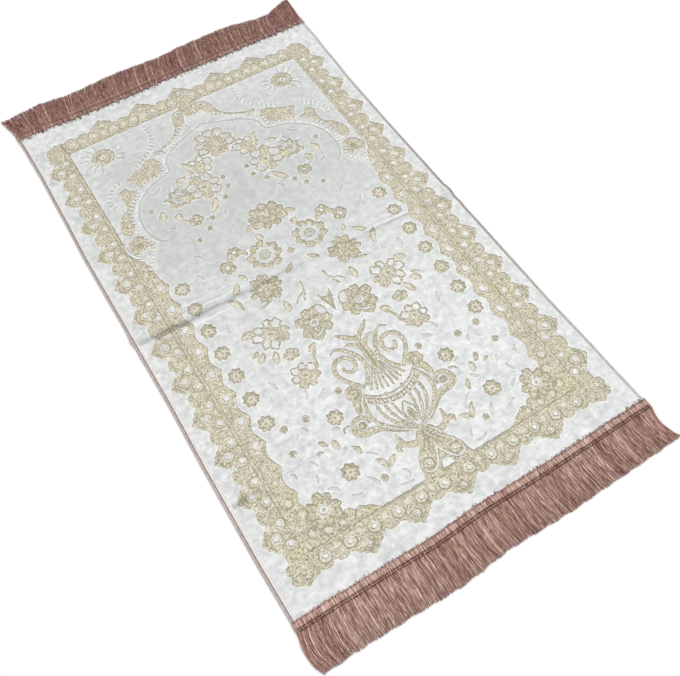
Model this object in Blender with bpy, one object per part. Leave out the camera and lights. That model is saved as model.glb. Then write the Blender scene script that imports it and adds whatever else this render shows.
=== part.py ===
"""A prayer rug lying open on a floor: one patterned cloth, a binding along each
side, and a fringe with a woven heading sewn over each end.

Metres, +Z up. X runs across the rug and Y along it, towards the end with the
arch. The floor is at z = 0, and the origin is on it, at the middle of the rug.
The pieces are first drawn about the middle of the cloth that shows.
"""

import math
import random
from collections import namedtuple

import bmesh
import bpy

# Driving sizes
RUG_WIDE = 0.650            # over both bindings
SHOWN_LONG = 1.080          # from heading to heading
CLOTH_THICK = 0.003
BINDING_WIDE = 0.007
HEADING_OVER = 0.012        # how far a heading lies over the cloth
HEADING_PAST = 0.009        # how far it reaches past the cloth's end
HEADING_THICK = 0.0014
CLEAR = 0.0003              # between pieces that touch
LOCKS = 120                 # locks of yarn in each fringe
LOCKS_IN_BAY = 5            # locks between two sections of the heading

HALF_LONG = SHOWN_LONG / 2
CLOTH_END = HALF_LONG + HEADING_OVER
HEADING_START = HALF_LONG + 0.001
HEADING_END = CLOTH_END + HEADING_PAST

# Where the side edges lie, outwards from half the rug's width
Edge = namedtuple("Edge", "along left right")
EDGES = (
    Edge(-0.560, 0.0040, 0.0025),
    Edge(-0.440, 0.0058, 0.0000),
    Edge(-0.290, 0.0055, -0.0035),
    Edge(-0.140, 0.0035, -0.0040),
    Edge(0.020, 0.0045, -0.0054),
    Edge(0.190, 0.0055, -0.0057),
    Edge(0.320, 0.0030, -0.0045),
    Edge(0.420, 0.0015, -0.0005),
    Edge(0.490, 0.0022, 0.0030),
    Edge(0.560, 0.0040, 0.0025),
)

# Soft ridges that folding has left in the cloth; a fade brings both ends down to the floor
Crease = namedtuple("Crease", "start end rise half_wide fade")
MAIN_FOLD = Crease((-0.345, -0.001), (0.345, -0.022), 0.0042, 0.020, 0.0)
FOLD_RIPPLE = Crease((-0.345, -0.038), (0.345, -0.056), 0.0016, 0.014, 0.0)
LONG_CREASE = Crease((0.004, 0.110), (0.008, 0.300), 0.0014, 0.014, 0.060)
SHORT_CREASE = Crease((-0.250, -0.352), (-0.130, -0.344), 0.0012, 0.012, 0.040)
CREASES = (MAIN_FOLD, FOLD_RIPPLE, LONG_CREASE, SHORT_CREASE)

# How each fringe lies, from the left to the right: the sideways lean of a lock
# at its middle and at its tip, and how far the tips reach from the cloth that shows
Lie = namedtuple("Lie", "across middle tip reach")
NEAR_LIE = (
    Lie(-1.00, -0.0050, 0.0040, 0.0830),
    Lie(-0.85, -0.0020, 0.0020, 0.0840),
    Lie(-0.45, 0.0015, -0.0015, 0.0815),
    Lie(0.00, -0.0010, 0.0020, 0.0830),
    Lie(0.50, 0.0010, 0.0040, 0.0805),
    Lie(0.85, -0.0020, 0.0020, 0.0800),
    Lie(1.00, -0.0050, 0.0055, 0.0780),
)
FAR_LIE = (
    Lie(-1.00, -0.0040, -0.0080, 0.0620),
    Lie(-0.85, 0.0020, 0.0010, 0.0690),
    Lie(-0.63, 0.0040, 0.0100, 0.0650),
    Lie(-0.20, 0.0050, 0.0130, 0.0705),
    Lie(0.30, 0.0060, 0.0140, 0.0720),
    Lie(0.82, 0.0050, 0.0120, 0.0640),
    Lie(1.00, 0.0040, 0.0080, 0.0780),
)

# The binding's section: shares of its width from the outer edge, and of the cloth's thickness
BINDING_SECTION = ((0.00, 0.45), (0.16, 0.0), (1.00, 0.0), (1.00, 1.0), (0.30, 1.0), (0.08, 0.80))

# The heading's section: distances out from the middle of the rug, and heights
ON_CLOTH = CLOTH_THICK + CLEAR
STEP_DOWN = CLOTH_END + CLEAR
HEADING_LIP = 0.0022        # height of its outer side, where the locks leave it
HEADING_FOOT = 3            # which corner is the foot of that side
HEADING_SECTION = (
    (HEADING_START, ON_CLOTH),
    (STEP_DOWN, ON_CLOTH),
    (STEP_DOWN + 0.0012, 0.0),
    (HEADING_END, 0.0),
    (HEADING_END, HEADING_LIP),
    (STEP_DOWN + 0.0040, 0.0038),
    (STEP_DOWN - 0.0005, ON_CLOTH + HEADING_THICK),
    (HEADING_START, ON_CLOTH + 0.8 * HEADING_THICK),
)

# A lock of fringe: widths as shares of the space between locks, and heights
ROOT_FILL = 0.80
MIDDLE_FILL = 0.76
TIP_FILL = 0.42
TOP_FILL = 0.65             # its upper side, as a share of its underside
MIDDLE_HIGH = 0.0022
TIP_HIGH = 0.0011
CLUMP_LONG = 0.034          # spacing of the places where tips lean together
CLUMP_SHIFT = 0.0016
MIDDLE_CLUMP = 0.4
TIP_JITTER = 0.0006
REACH_JITTER = 0.0020

# Mesh spacing
ROW_STEP = 0.048
FINE_STEP = 0.006
COLUMN_STEP = 0.036
SHARP_ANGLE = 40            # degrees

Look = namedtuple("Look", "color roughness")
VELVET = Look((0.74, 0.76, 0.75), 0.55)
BINDING_YARN = Look((0.42, 0.26, 0.22), 0.80)
FRINGE_YARN = Look((0.36, 0.17, 0.13), 0.70)


def smooth_between(table, column, key, value):
    """The named column of a table at a value of its key column, on a smooth curve through the rows."""
    keys = [getattr(row, key) for row in table]
    spots = [getattr(row, column) for row in table]
    last = len(keys) - 1
    if value <= keys[0]:
        return spots[0]
    if value >= keys[last]:
        return spots[last]
    low = max(i for i in range(last) if keys[i] <= value)
    share = (value - keys[low]) / (keys[low + 1] - keys[low])
    eased = share * share * (3 - 2 * share)
    return spots[low] + (spots[low + 1] - spots[low]) * eased


def left_edge(y):
    return -RUG_WIDE / 2 - smooth_between(EDGES, "left", "along", y)


def right_edge(y):
    return RUG_WIDE / 2 + smooth_between(EDGES, "right", "along", y)


def crease_rise(crease, x, y):
    """Height of one crease's ridge over a point: a raised cosine across it."""
    (ax, ay), (bx, by) = crease.start, crease.end
    long = math.hypot(bx - ax, by - ay)
    ux, uy = (bx - ax) / long, (by - ay) / long
    along = (x - ax) * ux + (y - ay) * uy
    across = abs((y - ay) * ux - (x - ax) * uy)
    if across >= crease.half_wide:
        return 0.0
    rise = crease.rise * math.cos(math.pi / 2 * across / crease.half_wide) ** 2
    if crease.fade:
        from_end = min(along, long - along)
        share = min(max(from_end / crease.fade, 0.0), 1.0)
        rise *= share * share * (3 - 2 * share)
    return rise


def floor_rise(x, y):
    """How far the underside of the cloth stands off the floor."""
    return sum(crease_rise(crease, x, y) for crease in CREASES)


def stations(start, end, step, fine_spans):
    """Even steps from start to end, with fine steps inside each span."""
    cuts = [start, end]
    for low, high in fine_spans:
        count = max(1, round((high - low) / FINE_STEP))
        cuts += [low + (high - low) * i / count for i in range(count + 1)]
    cuts = sorted(set(round(cut, 5) for cut in cuts))
    spots = []
    for low, high in zip(cuts, cuts[1:]):
        count = max(1, math.ceil((high - low) / step))
        spots += [low + (high - low) * i / count for i in range(count)]
    return spots + [end]


def band(crease, axis):
    """The span that a crease takes up along X (axis 0) or Y (axis 1)."""
    ends = (crease.start[axis], crease.end[axis])
    return min(ends) - crease.half_wide, max(ends) + crease.half_wide


def row_stations():
    """Rows along the cloth, close together where a crease crosses it."""
    folded = (band(FOLD_RIPPLE, 1)[0], band(MAIN_FOLD, 1)[1])
    return stations(-CLOTH_END, CLOTH_END, ROW_STEP, (band(SHORT_CREASE, 1), folded))


def column_shares():
    """Columns as shares of the width, close together over the crease that runs lengthwise."""
    spots = stations(-RUG_WIDE / 2, RUG_WIDE / 2, COLUMN_STEP, (band(LONG_CREASE, 0),))
    return [spot / RUG_WIDE + 0.5 for spot in spots]


def material(name, look):
    made = bpy.data.materials.new(name)
    made.use_nodes = True
    shader = made.node_tree.nodes["Principled BSDF"]
    shader.inputs["Base Color"].default_value = (*look.color, 1.0)
    shader.inputs["Roughness"].default_value = look.roughness
    shader.inputs["Metallic"].default_value = 0.0
    return made


def turn_outwards(mesh):
    shell = bmesh.new()
    shell.from_mesh(mesh)
    bmesh.ops.recalc_face_normals(shell, faces=shell.faces)
    shell.to_mesh(mesh)
    shell.free()


def add_mesh(name, points, faces, look, closed=True):
    mesh = bpy.data.meshes.new(name)
    mesh.from_pydata(points, [], faces)
    if closed:
        turn_outwards(mesh)
    mesh.materials.append(material(name, look))
    mesh.shade_smooth()
    mesh.set_sharp_from_angle(angle=math.radians(SHARP_ANGLE))
    made = bpy.data.objects.new(name, mesh)
    bpy.context.scene.collection.objects.link(made)
    return made


def loft(rings):
    """Points and faces of a closed body through rings of points, with a cap at each end."""
    size = len(rings[0])
    points = [point for ring in rings for point in ring]
    faces = [tuple(range(size))]
    for start in range(0, len(points) - size, size):
        for i in range(size):
            a = start + i
            b = start + (i + 1) % size
            faces.append((a, b, b + size, a + size))
    faces.append(tuple(range(len(points) - size, len(points))))
    return points, faces


def rug_cloth():
    """One sheet of even thickness, its underside flat on the floor except over its creases."""
    inset = BINDING_WIDE + CLEAR
    rows = row_stations()
    shares = column_shares()
    points = []
    for y in rows:
        low = left_edge(y) + inset
        high = right_edge(y) - inset
        for share in shares:
            x = low + (high - low) * share
            points.append((x, y, floor_rise(x, y)))
    wide = len(shares)
    faces = []
    for row in range(len(rows) - 1):
        for column in range(wide - 1):
            a = row * wide + column
            faces.append((a, a + 1, a + 1 + wide, a + wide))
    cloth = add_mesh("rug_cloth", points, faces, VELVET, closed=False)
    thickness = cloth.modifiers.new("thickness", "SOLIDIFY")
    thickness.thickness = CLOTH_THICK
    thickness.offset = 1.0
    return cloth


def side_binding(name, edge, inwards):
    """A strip of wrapped yarn along one long edge, its underside down and its outer side rounded."""
    rings = []
    for y in row_stations():
        outer = edge(y)
        lift = floor_rise(outer + inwards * BINDING_WIDE, y)
        ring = []
        for share, height in BINDING_SECTION:
            x = outer + inwards * share * BINDING_WIDE
            ring.append((x, y, lift + height * CLOTH_THICK))
        rings.append(ring)
    return add_mesh(name, *loft(rings), BINDING_YARN)


def lock_rings(x, lie, pitch, chance):
    """Sections of one lock, level on the floor: where it leaves the heading, its middle and its tip."""
    across = x / (RUG_WIDE / 2)
    reach = HALF_LONG + smooth_between(lie, "reach", "across", across)
    reach -= chance.uniform(0.0, REACH_JITTER)
    clump = CLUMP_SHIFT * math.sin(2 * math.pi * x / CLUMP_LONG)
    middle_x = x + smooth_between(lie, "middle", "across", across) + MIDDLE_CLUMP * clump
    tip_x = x + smooth_between(lie, "tip", "across", across) + clump
    tip_x += chance.uniform(-TIP_JITTER, TIP_JITTER)
    sections = (
        (x, HEADING_END, ROOT_FILL, 1.0, HEADING_LIP),
        (middle_x, (HEADING_END + reach) / 2, MIDDLE_FILL, TOP_FILL, MIDDLE_HIGH),
        (tip_x, reach, TIP_FILL, TOP_FILL, TIP_HIGH),
    )
    rings = []
    for spot, out, fill, top_fill, high in sections:
        half = pitch * fill / 2
        top = half * top_fill
        corners = ((-half, 0.0), (-top, high), (top, high), (half, 0.0))
        rings.append([(spot + side, out, z) for side, z in corners])
    return rings


def fringe(name, sign, lie, seed):
    """A woven heading over the cloth's end, and locks of yarn that grow out of its outer side."""
    chance = random.Random(seed)
    low, high = left_edge(sign * CLOTH_END), right_edge(sign * CLOTH_END)
    pitch = (high - low) / LOCKS
    points, faces = [], []

    def add_ring(corners):
        first = len(points)
        points.extend((x, sign * out, z) for x, out, z in corners)
        return list(range(first, len(points)))

    def join(here, there, sides):
        count = len(here)
        for i in sides:
            j = (i + 1) % count
            faces.append((here[i], here[j], there[j], there[i]))

    def lock(x):
        """One lock; gives the two sides of its root, each as a foot and a top corner."""
        rings = [add_ring(ring) for ring in lock_rings(x, lie, pitch, chance)]
        for here, there in zip(rings, rings[1:]):
            join(here, there, range(4))
        faces.append(tuple(rings[-1]))
        left_foot, left_top, right_top, right_foot = rings[0]
        return [(left_foot, left_top), (right_foot, right_top)]

    def heading_ring(x):
        return add_ring([(x, out, z) for out, z in HEADING_SECTION])

    foot, lip = HEADING_FOOT, HEADING_FOOT + 1
    plain_sides = [i for i in range(len(HEADING_SECTION)) if i not in (foot - 1, foot, lip)]
    bay_wide = LOCKS_IN_BAY * pitch
    here = heading_ring(low)
    faces.append(tuple(here))
    for bay in range(LOCKS // LOCKS_IN_BAY):
        start = low + bay * bay_wide
        there = heading_ring(start + bay_wide)
        join(here, there, plain_sides)
        # The outer side is left open where each lock grows out of it
        rim = [(here[foot], here[lip])]
        for i in range(LOCKS_IN_BAY):
            rim += lock(start + (i + 0.5) * pitch)
        rim.append((there[foot], there[lip]))
        for (a_foot, a_top), (b_foot, b_top) in zip(rim[0::2], rim[1::2]):
            faces.append((a_foot, a_top, b_top, b_foot))
        faces.append((here[foot - 1], *(side[0] for side in rim), there[foot - 1]))
        faces.append((here[lip + 1], *(side[1] for side in rim), there[lip + 1]))
        here = there
    faces.append(tuple(here))
    return add_mesh(name, points, faces, FRINGE_YARN)


def centre_on_floor(pieces):
    """Hangs the pieces under one empty that puts the middle of their outline over the origin."""
    spots = [vertex.co for piece in pieces for vertex in piece.data.vertices]
    middle_x = (min(s.x for s in spots) + max(s.x for s in spots)) / 2
    middle_y = (min(s.y for s in spots) + max(s.y for s in spots)) / 2
    whole = bpy.data.objects.new("prayer_rug", None)
    bpy.context.scene.collection.objects.link(whole)
    for piece in pieces:
        piece.parent = whole
    whole.location = (-middle_x, -middle_y, 0.0)


def build_rug():
    for old in list(bpy.data.objects):
        bpy.data.objects.remove(old)
    cloth = rug_cloth()
    left = side_binding("binding_left", left_edge, 1)
    right = side_binding("binding_right", right_edge, -1)
    near = fringe("fringe_near", -1, NEAR_LIE, seed=11)
    far = fringe("fringe_far", 1, FAR_LIE, seed=12)
    centre_on_floor((cloth, left, right, near, far))


build_rug()
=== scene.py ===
"""Looks of the prayer rug: cut pile over a woven ground, overlocked sides, and a
fringe of fine yarn with a stitched heading at each end.

Metres, +Z up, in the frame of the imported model. The pattern's chart is in
millimetres: u runs from the pattern's middle line and v from the near heading.
"""

import random
from collections import namedtuple
from math import atan2, ceil, cos, degrees, hypot, pi, radians, sin

import bpy
import numpy as np
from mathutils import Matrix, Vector
from mathutils.geometry import delaunay_2d_cdt


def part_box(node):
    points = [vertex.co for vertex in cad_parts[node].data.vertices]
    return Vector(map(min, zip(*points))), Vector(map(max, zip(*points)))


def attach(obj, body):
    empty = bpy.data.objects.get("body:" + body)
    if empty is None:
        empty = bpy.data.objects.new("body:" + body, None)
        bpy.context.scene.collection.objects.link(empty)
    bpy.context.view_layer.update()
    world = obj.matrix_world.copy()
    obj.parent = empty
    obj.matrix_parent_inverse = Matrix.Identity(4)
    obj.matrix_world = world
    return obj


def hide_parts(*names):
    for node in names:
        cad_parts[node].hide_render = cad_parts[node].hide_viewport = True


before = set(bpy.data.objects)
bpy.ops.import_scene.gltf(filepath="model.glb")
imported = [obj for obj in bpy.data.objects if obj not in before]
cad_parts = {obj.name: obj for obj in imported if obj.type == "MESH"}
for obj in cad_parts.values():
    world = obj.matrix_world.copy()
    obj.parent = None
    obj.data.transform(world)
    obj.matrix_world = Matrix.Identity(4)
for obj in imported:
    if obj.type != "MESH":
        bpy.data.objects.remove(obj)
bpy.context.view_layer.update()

MM = 0.001

# The rug's sizes, as its solids have them
RUG_WIDE = 0.65  # over both bindings
SHOWN_LONG = 1.08  # from heading to heading
CLOTH_THICK = 0.003
BINDING_WIDE = 0.007
HEADING_OVER = 0.012  # how far a heading lies over the cloth
HEADING_PAST = 0.009  # how far it reaches past the cloth's end
CLEAR = 0.0003  # between pieces that touch
HALF_LONG = SHOWN_LONG / 2
CLOTH_END = HALF_LONG + HEADING_OVER
HEADING_START = HALF_LONG + 0.001
HEADING_END = CLOTH_END + HEADING_PAST


def table(columns, *rows):
    """Rows with named columns."""
    Row = namedtuple("Row", columns)
    return [Row(*row) for row in rows]


# Where the side edges lie, outwards from half the rug's width
EDGES = table(
    "along left right",
    (-0.56, 0.004, 0.0025), (-0.44, 0.0058, 0), (-0.29, 0.0055, -0.0035), (-0.14, 0.0035, -0.004),
    (0.02, 0.0045, -0.0054), (0.19, 0.0055, -0.0057), (0.32, 0.003, -0.0045), (0.42, 0.0015, -0.0005),
    (0.49, 0.0022, 0.003), (0.56, 0.004, 0.0025),
)

# Soft ridges that folding has left; a fade brings both ends down to the floor
CREASES = table(
    "start end rise half_wide fade",
    ((-0.345, -0.001), (0.345, -0.022), 0.0042, 0.02, 0),
    ((-0.345, -0.038), (0.345, -0.056), 0.0016, 0.014, 0),
    ((0.004, 0.11), (0.008, 0.3), 0.0014, 0.014, 0.06),
    ((-0.25, -0.352), (-0.13, -0.344), 0.0012, 0.012, 0.04),
)
FOLD_ZONE = (-0.075, 0.022)  # where rows of points run close together

# Narrow painted shade and painted highlights along the folds, and how strong they are at either end; the
# last dark one lies over a far left corner
MARK = "start end half_wide first last"
PAINTED_SHADE_MARKS = table(
    MARK,
    ((-0.33, -0.0165), (-0.2, -0.02), 0.0066, 0.7, 1),
    ((-0.2, -0.0185), (0.05, -0.021), 0.0045, 1, 0),
    ((-0.292, -0.0215), (-0.232, -0.0225), 0.005, 0.7, 1),
    ((-0.25, -0.001), (-0.11, -0.004), 0.002, 0.5, 0.2),
    ((0.125, -0.024), (0.215, -0.027), 0.0028, 0.5, 0.9),
    ((0.125, -0.016), (0.215, -0.018), 0.0018, 0.2, 0.5),
    ((-0.32, -0.35), (-0.27, -0.348), 0.008, 0.9, 0.5),
    ((-0.235, -0.3475), (-0.15, -0.346), 0.0024, 0.7, 0.2),
    ((-0.2618, 0.482), (-0.257, 0.452), 0.017, 1.5, 0.6),
)
PAINTED_HIGHLIGHT_MARKS = table(
    MARK,
    ((-0.3, -0.006), (-0.05, -0.009), 0.003, 1, 0.2),
    ((-0.25, -0.032), (-0.08, -0.035), 0.0035, 0.9, 0.3),
    ((-0.23, 0.012), (-0.1, 0.009), 0.0025, 0.8, 0.2),
    ((0.11, -0.021), (0.22, -0.0225), 0.003, 0.3, 1),
    ((0.1, -0.007), (0.3, -0.01), 0.004, 0.3, 0.8),
)

# How each fringe lies: its lean at a lock's middle and tip, its reach from the shown cloth, and how much
# further out than drawn the heading's yarns and stitches lie
LIE = "across middle tip reach shift"
NEAR_LIE = table(
    LIE,
    (-1, -0.005, 0.004, 0.0845, 0.0006), (-0.85, -0.002, 0.002, 0.0835, 0.001),
    (-0.6, 0.001, -0.001, 0.085, 0.0022), (-0.3, 0.0002, 0, 0.0885, 0.0043),
    (0, -0.001, 0.002, 0.0825, 0.0006), (0.32, 0.0005, 0.0035, 0.0855, 0.0022),
    (0.6, 0.0008, 0.004, 0.084, 0.002), (0.85, -0.0005, 0.003, 0.0832, 0.0008),
    (0.94, -0.001, 0.0045, 0.0825, 0.0006), (1, -0.005, 0.0055, 0.0815, 0.0006),
)
FAR_LIE = table(
    LIE,
    (-1, -0.006, -0.013, 0.067, -0.0066), (-0.8, 0.0026, 0.004, 0.0745, -0.007),
    (-0.63, 0.004, 0.01, 0.068, -0.01), (-0.31, 0.0048, 0.0125, 0.074, -0.0115),
    (0, 0.0054, 0.0135, 0.07, -0.0092), (0.16, 0.0057, 0.0138, 0.0755, -0.0084),
    (0.46, 0.0058, 0.0135, 0.0775, -0.008), (0.77, 0.0052, 0.0125, 0.064, -0.0078),
    (1, 0.004, 0.008, 0.085, -0.0072),
)

# Heights of the cloth's layers over its underside
GROUND_TOP = 0.0019
GROOVE_TOP = 0.0025
PILE_TOP = CLOTH_THICK
BEAD_TOP = 0.0034
LIP = 0.0002  # how much the pile stands up along its edges
SHOULDER = 0.00035  # how far down its edges are rounded
PILE_SINK = 0.0002  # how far its walls reach into the ground
# How far its shoulder and its top draw in from its foot, in the chart's units
SHOULDER_INSET = 0.15
TOP_INSET = 0.6
WAVE_HIGH = 0.00035  # slight unevenness of the laid cloth
WAVE_FADE = 0.05  # how far from the headings it starts to die out

# The chart's spacing of points, in its own units
BEIGE_STEP = 3.2
WHITE_STEP = 9.0
FOLD_STEP = (12.0, 4.0)  # along and across the folds
OUTLINE_STEP = 8.0
LONGEST_EDGE = 7.0
MERGE = 0.02  # points nearer than this become one

MIDDLE_LINE = -3.5  # the pattern's middle line from the cloth's
UNEVEN = 0.6  # how far outlines stray
RUFFLE = 0.12  # how much a petal's edge waves
LAG = 0.005  # how far the left band's pattern lags, as a share of v


def smooth_between(rows, column, value):
    """A table's named column at a value of its first, on a smooth curve through the rows."""
    keys = [row[0] for row in rows]
    spots = [getattr(row, column) for row in rows]
    if value <= keys[0]:
        return spots[0]
    if value >= keys[-1]:
        return spots[-1]
    low = max(i for i in range(len(keys) - 1) if keys[i] <= value)
    share = (value - keys[low]) / (keys[low + 1] - keys[low])
    eased = share * share * (3 - 2 * share)
    return spots[low] + (spots[low + 1] - spots[low]) * eased


def left_edge(y):
    return -RUG_WIDE / 2 - smooth_between(EDGES, "left", y)


def right_edge(y):
    return RUG_WIDE / 2 + smooth_between(EDGES, "right", y)


def crease_rise(crease, x, y):
    """One crease's ridge over arrays of points: a raised cosine across it."""
    (ax, ay), (bx, by) = crease.start, crease.end
    long = hypot(bx - ax, by - ay)
    ux, uy = (bx - ax) / long, (by - ay) / long
    along = (x - ax) * ux + (y - ay) * uy
    across = np.abs((y - ay) * ux - (x - ax) * uy)
    near = np.minimum(across / crease.half_wide, 1.0)
    rise = crease.rise * np.cos(pi / 2 * near) ** 2
    if crease.fade:
        share = np.clip(np.minimum(along, long - along) / crease.fade, 0.0, 1.0)
        rise = rise * share * share * (3 - 2 * share)
    return rise


def floor_rise(x, y):
    """How far the cloth's underside stands off the floor."""
    return sum(crease_rise(crease, x, y) for crease in CREASES)


def waves(x, y):
    """Slight unevenness of the cloth's face, except at the headings."""
    quiet = np.clip((HALF_LONG - np.abs(y)) / WAVE_FADE, 0.0, 1.0)
    wave = np.sin(19 * x + 7 * y + 0.6) + np.sin(31 * y - 11 * x) + 0.6 * np.sin(47 * x + 23 * y)
    return WAVE_HIGH * quiet * (0.5 + wave / 5.2)


# ---------------- outlines for the chart

def around(u, v, reach, aim, squash=1.0):
    """The spot at a distance from a middle, anticlockwise from u by an angle."""
    return u + reach * cos(aim), v + squash * reach * sin(aim)


def circle(u, v, radius, count=14):
    turn = 2 * pi / count
    return [around(u, v, radius, i * turn) for i in range(count)]


def placed(spots, u, v, lean):
    """Spots about a new middle, turned anticlockwise by some degrees."""
    c, s = cos(radians(lean)), sin(radians(lean))
    return [(u + a * c - b * s, v + a * s + b * c) for a, b in spots]


def oval(u, v, half_wide, half_high, lean=0, count=16, ruffle=0.0):
    """An ellipse that leans by some degrees; ruffle is how far its edge waves in and out."""
    sizes = ((1 + ruffle * sin(5 * atan2(b, a) + lean), a, b) for a, b in circle(0, 0, 1, count))
    return placed([(half_wide * a * size, half_high * b * size) for size, a, b in sizes], u, v, lean)


def petalled(u, v, radius, count, depth, turn=90, squash=1.0, per_petal=6):
    """A round form with lobes; depth is how far it draws in between two of them."""
    spots = []
    for i in range(count * per_petal):
        angle = 2 * pi * i / (count * per_petal)
        bulge = abs(cos(count * angle / 2))
        reach = radius * (1 - depth + depth * bulge ** 0.7)
        spots.append(around(u, v, reach, angle + radians(turn), squash))
    return spots


def bloom(u, v, radius, count=5, depth=0.2, turn=90):
    """A small petalled form, of few points."""
    return petalled(u, v, radius, count, depth, turn, per_petal=3)


def star(u, v, outer, inner, points, turn=90):
    aims = [pi * i / points + radians(turn) for i in range(2 * points)]
    return [around(u, v, inner if i % 2 else outer, aim) for i, aim in enumerate(aims)]


def leaf(u, v, long, wide, aim, bend=0.0):
    """A pointed leaf about its middle, aiming some degrees up from u; bend curves it."""
    upper, lower = [], []
    for share in (0.0, 0.2, 0.45, 0.7, 0.88, 1.0):
        along = long * (share - 0.5)
        half = wide / 2 * sin(pi * share ** 0.9) ** 0.8 if 0 < share < 1 else 0.0
        middle = bend * (1 - (2 * share - 1) ** 2)
        upper.append((along, middle + half))
        lower.append((along, middle - half))
    return placed(upper + lower[-2:0:-1], u, v, aim)


def curve(points, per_span=4):
    """A smooth path through points."""
    spots = []
    last = len(points) - 1
    for i in range(last):
        corners = points[max(i - 1, 0)], points[i], points[i + 1], points[min(i + 2, last)]
        for step in range(per_span):
            t = step / per_span
            spots.append(tuple(
                b + 0.5 * t * (c - a + t * (2 * a - 5 * b + 4 * c - d + t * (3 * (b - c) + d - a)))
                for a, b, c, d in zip(*corners)
            ))
    return spots + [tuple(points[-1])]


def ribbon(path, wide, end=None, start=None):
    """A stroke's outline along a path: wide in its middle, and narrower at an end where told."""
    start = wide if start is None else start
    end = wide if end is None else end
    left, right = [], []
    last = len(path) - 1
    for i, (x, y) in enumerate(path):
        ax, ay = path[max(i - 1, 0)]
        bx, by = path[min(i + 1, last)]
        long = hypot(bx - ax, by - ay) or 1.0
        nx, ny = (ay - by) / long, (bx - ax) / long
        share = i / last
        size = wide + (start - wide) * max(1 - 2.5 * share, 0) + (end - wide) * max(2.5 * share - 1.5, 0)
        left.append((x + nx * size / 2, y + ny * size / 2))
        right.append((x - nx * size / 2, y - ny * size / 2))
    return left + right[::-1]


def trail(points, wide, end=None, start=None):
    """A stroke along a smooth path through points."""
    return ribbon(curve(points), wide, end, start)


def arc(u, v, radius, start, end, count=10):
    aims = (radians(start + (end - start) * i / count) for i in range(count + 1))
    return [around(u, v, radius, aim) for aim in aims]


def curl(u, v, radius, start, end, count, wide, tips=None):
    """A stroke along an arc, with narrower tips where told."""
    return ribbon(arc(u, v, radius, start, end, count), wide, tips, tips)


def evenly(path, pitch):
    """Spots along a path at an even pitch, each with the path's direction in degrees."""
    spots = []
    due = pitch / 2
    for (ax, ay), (bx, by) in zip(path, path[1:]):
        long = hypot(bx - ax, by - ay)
        while due < long:
            share = due / long
            spot = (ax + (bx - ax) * share, ay + (by - ay) * share)
            spots.append((spot, degrees(atan2(by - ay, bx - ax))))
            due += pitch
        due -= long
    return spots


# ---------------- the pattern's patches

# A patch is beige ground, a dark line or a cream thread in that, white pile, a raised white bead, or a
# groove shorn in the white. Later patches hide earlier ones. Each has a mirror image across the middle
# line, unless it is ALONE.
THREADS = BEIGE, LINE, CREAM = "beige", "line", "cream"
WHITE, BEAD, GROOVE = "white", "bead", "groove"
PILE_TOPS = {WHITE: PILE_TOP, BEAD: BEAD_TOP, GROOVE: GROOVE_TOP}
ALONE = True
MARGIN = 4.0  # a parted stroke's white margins, both together


def parted(points, wide, end, start):
    """A beige stroke with white margins that part it from what it crosses."""
    yield WHITE, trail(points, wide + MARGIN, end + MARGIN, start + MARGIN)
    yield BEIGE, trail(points, wide, end, start)


def eyelet(u, v, radius, ring, wide=1.9):
    """A white dot in a cream rosette, with a broken dark ring of some width round it."""
    start = 3 * v
    yield LINE, curl(u, v, ring, start, start + 250, 10, wide, 0.4 * wide)
    yield CREAM, bloom(u, v, 0.72 * ring, 7, 0.22, start)
    yield WHITE, bloom(u, v, radius, 5, 0.12, start)


def petals(u, v, radius, count, turn=90, squash=1.0, inset=1.2, kinds=(LINE, BEIGE), closed=()):
    """Overlapping ovals of one kind, and in each an oval of another, except in closed ones."""
    reach = 0.64 * radius
    half = 1.16 * reach * sin(pi / count)
    for i in range(count):
        aim = turn + 360 * i / count + 5 * sin(3.1 * i + 0.3 * v)
        size = 1 + 0.13 * sin(2.4 * i + 0.1 * u)
        at = around(u, v, reach, radians(aim), squash)
        wide, high = 0.36 * radius * size, half * size
        yield kinds[0], oval(*at, wide, high, aim, 14, RUFFLE)
        if i not in closed:
            yield kinds[1], oval(*at, wide - inset, high - inset, aim, 14, RUFFLE)


def spokes(u, v, aims, radii, squash=1.0):
    """Short straight paths outwards from a middle."""
    return [[around(u, v, reach, radians(aim), squash) for reach in radii] for aim in aims]


# ---------------- the border

BAND_INNER = 254  # the dark line inside the outer band
BAND_OUTER = 287
INNER_BAND = 231  # waists of the wavy inner band
WAVE_OUT = 9.5  # how far its crests lie from them
NEAR_BAND = (40, 69)
FAR_BAND = (989, 1021)
SIDE_LOBES = [113 + 76.6 * i for i in range(12)]
SCALLOPS = [157 + 50 * i for i in range(10)]
END_DOTS = [23 + 42.5 * i for i in range(6)]
END_LOBES = (0, 84.5, 170)
FAR_INSET = 7  # how much narrower the blocks at the far corners are
# A lobe's steps: shares of its half width and of its height
LOBE = (
    (1, -0.2), (0.93, 0.1), (0.74, 0.2), (0.68, 0.42), (0.5, 0.5), (0.4, 0.72), (0.2, 0.78), (0.1, 0.96),
)
# The block at each corner: out from the middle line, and outwards from the middle of the end band
CORNER_BLOCK = (
    (250, -14), (284, -16), (295, -12), (298, -3), (294, 4), (298, 11), (293, 19), (284, 21), (276, 27),
    (267, 22), (256, 20), (250, 14),
)


def lobe(along, base, half, high):
    """A stepped, pointed lobe: pairs of a place along the band's edge and a place out from it."""
    rising = [(-half * a, high * b) for a, b in LOBE]
    whole = rising + [(0.0, high)] + [(-a, b) for a, b in reversed(rising)]
    return [(along + a, base + b) for a, b in whole]


def wavy_edge():
    """The inner band's edge: blunt crests at the eyelets, and rounder hollows between."""
    for step in range(8 * len(SCALLOPS) + 1):
        near = abs(step % 8 / 4 - 1)
        yield INNER_BAND - WAVE_OUT * (1 - sin(pi / 2 * near) ** 1.25), SCALLOPS[0] - 25 + 6.25 * step


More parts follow.
